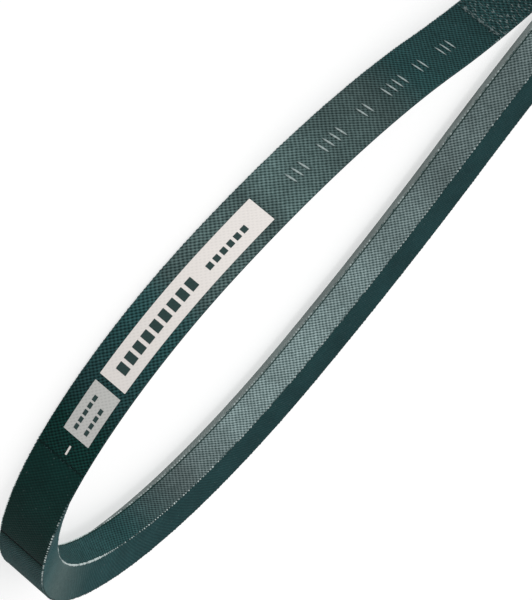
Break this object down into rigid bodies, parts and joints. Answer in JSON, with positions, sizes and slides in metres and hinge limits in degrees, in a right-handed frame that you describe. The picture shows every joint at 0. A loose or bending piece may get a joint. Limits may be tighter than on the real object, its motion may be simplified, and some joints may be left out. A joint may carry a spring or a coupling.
{
  "type": "v-belt",
  "caption": "Wrapped classical V-belt lying on its edge: an endless wedge of fabric-jacketed rubber with a cord layer, which drives grooved pulleys.",
  "frame": {"origin": "middle of the loop's bounding box, on the surface the belt's edge lies on", "axes": "+Z across the belt's width, up from the surface; the loop lies in the XY plane with its longest extent along X"},
  "size_m": [0.526, 0.1801, 0.017],
  "materials": {
    "outer_jacket": "bias-woven cotton and polyester fabric, rubberised and wiped, dull",
    "inner_jacket": "bias-woven fabric frictioned with rubber",
    "tension_rubber": "matt",
    "adhesion_rubber": "matt",
    "polyester_cord": "twisted cord, dipped",
    "compression_rubber": "matt",
    "label_white": "printed transfer, dull",
    "label_grey": "printed transfer, dull"
  },
  "bodies": {
    "root": {"adhesion_rubber_lower": "adhesion_rubber", "adhesion_rubber_upper": "adhesion_rubber", "compression_rubber": "compression_rubber", "inner_jacket_ply": "inner_jacket", "label_large": "label_white", "label_small": "label_grey", "outer_jacket_bend": "outer_jacket", "outer_jacket_front": "outer_jacket", "outer_jacket_rear": "outer_jacket", "tension_cord_01": "polyester_cord", "tension_cord_02": "polyester_cord", "tension_cord_03": "polyester_cord", "tension_cord_04": "polyester_cord", "tension_cord_05": "polyester_cord", "tension_cord_06": "polyester_cord", "tension_cord_07": "polyester_cord", "tension_cord_08": "polyester_cord", "tension_cord_09": "polyester_cord", "tension_rubber": "tension_rubber", "tick_mark": "label_white"}
  },
  "joints": []
}
